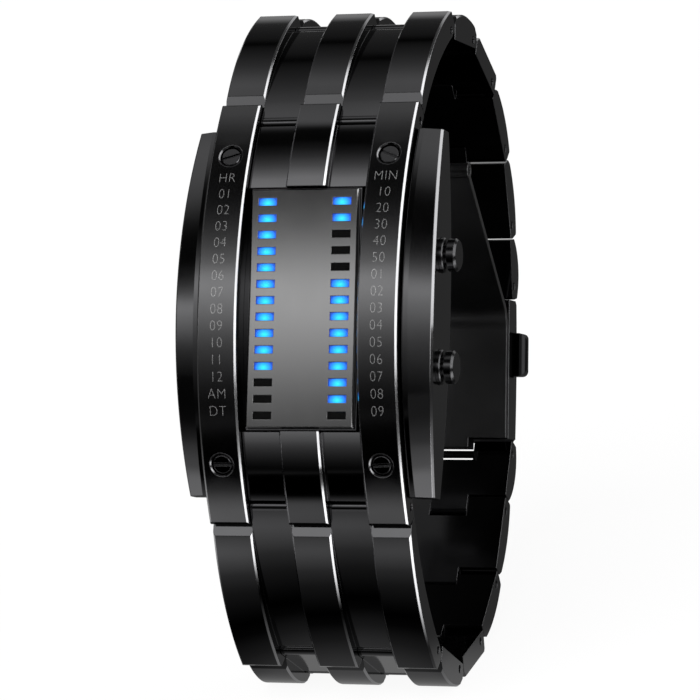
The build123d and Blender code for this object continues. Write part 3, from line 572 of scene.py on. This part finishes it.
def makeFloorMaterial(settings):
    material = bpy.data.materials.new("floorWhite")
    material.use_nodes = True
    tree = material.node_tree
    tree.nodes.clear()
    out = tree.nodes.new("ShaderNodeOutputMaterial")
    lit = tree.nodes.new("ShaderNodeBsdfDiffuse")
    lit.inputs["Color"].default_value = (settings["colour"],) * 3 + (1,)
    white = tree.nodes.new("ShaderNodeEmission")
    seen = tree.nodes.new("ShaderNodeMixShader")
    path = tree.nodes.new("ShaderNodeLightPath")
    share = mathNode(tree, "MULTIPLY", path.outputs["Is Camera Ray"], settings["whiteShare"])
    tree.links.new(share, seen.inputs["Fac"])
    tree.links.new(lit.outputs[0], seen.inputs[1])
    tree.links.new(white.outputs[0], seen.inputs[2])

    geometry = tree.nodes.new("ShaderNodeNewGeometry")
    x, y, z = split(tree, geometry.outputs["Position"])
    squares = mathNode(tree, "ADD", mathNode(tree, "POWER", x, 2.0), mathNode(tree, "POWER", y, 2.0))
    distance = mathNode(tree, "SQRT", squares)
    rings = greyRamp(tree, distance, settings["span"], settings["top"], settings["rings"])
    level = mathNode(tree, "MULTIPLY", rings, settings["top"])
    sideways = mathNode(tree, "ABSOLUTE", mathNode(tree, "ADD", x, settings["corridor"]))
    beside = mapRange(tree, sideways, *settings["corridorSides"], smooth=True)
    near = mapRange(tree, y, *settings["corridorNear"], smooth=True)
    level = mathNode(tree, "MULTIPLY", level, mathNode(tree, "MAXIMUM", beside, near))
    level = mathNode(tree, "MULTIPLY", level, mapRange(tree, x, *settings["leftFade"], settings["leftShare"]))
    front = mapRange(tree, y, *settings["front"], smooth=True)
    level = mathNode(tree, "MULTIPLY", level, front)
    behind = mathNode(tree, "MULTIPLY", mathNode(tree, "SUBTRACT", 1.0, front), settings["backLevel"])
    right = settings["rightLevel"]
    for value, pairs in ((x, settings["rightEdges"]), (y, settings["rightDepths"])):
        for start, whole in pairs:
            right = mathNode(tree, "MULTIPLY", mapRange(tree, value, start, whole, smooth=True), right)
    level = mathNode(tree, "ADD", mathNode(tree, "ADD", level, behind), right)
    mirrored = tree.nodes.new("ShaderNodeEmission")
    tree.links.new(level, mirrored.inputs["Strength"])
    mix = tree.nodes.new("ShaderNodeMixShader")
    tree.links.new(path.outputs["Is Glossy Ray"], mix.inputs["Fac"])
    tree.links.new(seen.outputs[0], mix.inputs[1])
    tree.links.new(mirrored.outputs[0], mix.inputs[2])
    tree.links.new(mix.outputs[0], out.inputs["Surface"])
    return material


deselect()
bpy.ops.mesh.primitive_plane_add(size=floorSettings["size"], location=(0, 0, -floorSettings["drop"]))
floor = bpy.context.object
floor.name = "floor"
floor.data.materials.append(makeFloorMaterial(floorSettings))

# Surroundings: soft bands of light across the view, by how many degrees they are turned up from the front.
# The left side has the same bands, drawn together about leftMiddle.

worldSettings = {
    "span": 180.0,
    "top": 1.4,
    "bands": (
        (0, 0.02), (5, 0.05), (9, 0.1), (14, 0.18), (18, 0.3), (22, 0.52), (26, 0.8), (30, 1.05), (34, 1.4),
        (36.5, 1.3), (40, 0.65), (44, 0.25), (48.5, 0.07), (54, 0.01), (64, 0.02), (68, 0.06), (72, 0.2),
        (76, 0.36), (82, 0.5), (89, 0.55), (93, 0.46), (98, 0.31), (103, 0.2), (110, 0.11), (120, 0.03),
        (121.5, 0.0), (127, 0.05), (145, 0.09), (152, 0.6), (166, 0.8), (174, 0.07), (180, 0.05),
    ),
    "rightLevel": 2.2,
    "rightEdge": (0.62, 0.75),
    "leftEdge": (-0.45, -0.7),
    "leftMiddle": 16.0,
    "leftShrink": 0.25,
}


def makeWorld(settings):
    world = bpy.data.worlds.new("studio")
    bpy.context.scene.world = world
    world.use_nodes = True
    tree = world.node_tree
    tree.nodes.clear()
    out = tree.nodes.new("ShaderNodeOutputWorld")
    white = tree.nodes.new("ShaderNodeBackground")
    white.inputs["Color"].default_value = (1, 1, 1, 1)
    studio = tree.nodes.new("ShaderNodeBackground")
    studio.inputs["Color"].default_value = (1, 1, 1, 1)
    coords = tree.nodes.new("ShaderNodeTexCoord")
    x, y, z = split(tree, coords.outputs["Generated"])
    turned = mathNode(tree, "ARCTAN2", z, mathNode(tree, "MULTIPLY", y, -1.0))
    degrees = mathNode(tree, "MAXIMUM", mathNode(tree, "DEGREES", turned), 0.0)
    left = mapRange(tree, x, *settings["leftEdge"], 0.0, settings["leftShrink"], smooth=True)
    inward = mathNode(tree, "SUBTRACT", settings["leftMiddle"], degrees)
    degrees = mathNode(tree, "MULTIPLY_ADD", inward, left, degrees)
    bands = greyRamp(tree, degrees, settings["span"], settings["top"], settings["bands"])
    level = mathNode(tree, "MULTIPLY", bands, settings["top"])
    right = mapRange(tree, x, *settings["rightEdge"], smooth=True)
    level = mathNode(tree, "MULTIPLY_ADD", right, settings["rightLevel"], level)
    tree.links.new(level, studio.inputs["Strength"])
    path = tree.nodes.new("ShaderNodeLightPath")
    mix = tree.nodes.new("ShaderNodeMixShader")
    tree.links.new(path.outputs["Is Camera Ray"], mix.inputs["Fac"])
    tree.links.new(studio.outputs[0], mix.inputs[1])
    tree.links.new(white.outputs[0], mix.inputs[2])
    tree.links.new(mix.outputs[0], out.inputs["Surface"])


makeWorld(worldSettings)

# A soft lamp from above and in front, kept out of the reflections

sunSettings = {"energy": 3.6, "angle": 40, "turn": (50, 0, -10)}  # degrees
sun = bpy.data.lights.new("top", "SUN")
sun.energy = sunSettings["energy"]
sun.angle = math.radians(sunSettings["angle"])
sunLamp = bpy.data.objects.new("top", sun)
sunLamp.rotation_euler = [math.radians(turn) for turn in sunSettings["turn"]]
sunLamp.visible_glossy = False
bpy.context.collection.objects.link(sunLamp)
print("light done")

# Camera: the photograph's, worked out from the rails and the LED plate, and leaned back with the case

cameraSettings = {
    "azimuth": 17.5, "elevation": -6.25, "roll": 1.57, "distance": 0.45, "pixels": 4099.0,
    "place": (295.9, 305.9), "frame": 700.0, "sensor": 36.0, "near": 0.01, "far": 50.0,
}


def addCamera(settings):
    turn = math.radians(settings["azimuth"])
    rise = math.radians(settings["elevation"])
    roll = math.radians(settings["roll"])
    back = Vector((math.sin(turn) * math.cos(rise), -math.cos(turn) * math.cos(rise), math.sin(rise)))
    right = Vector((math.cos(turn), math.sin(turn), 0))
    up = back.cross(right)
    axes = Matrix((
        right * math.cos(roll) + up * math.sin(roll),
        up * math.cos(roll) - right * math.sin(roll),
        back,
    )).transposed()
    leaned = (Matrix.Rotation(-lean, 3, "X") @ axes).to_4x4()
    away = leaned.col[2].to_3d() * settings["distance"]
    data = bpy.data.cameras.new("camera")
    camera = bpy.data.objects.new("camera", data)
    bpy.context.collection.objects.link(camera)
    camera.matrix_world = Matrix.Translation(faceMiddle + away) @ leaned
    middle = settings["frame"] / 2
    data.sensor_width = settings["sensor"]
    data.lens = settings["pixels"] * settings["sensor"] / settings["frame"]
    data.shift_x = (middle - settings["place"][0]) / settings["frame"]
    data.shift_y = (settings["place"][1] - middle) / settings["frame"]
    data.clip_start = settings["near"]
    data.clip_end = settings["far"]
    bpy.context.scene.camera = camera


addCamera(cameraSettings)
bpy.context.scene.view_settings.view_transform = "Standard"
print("camera done")
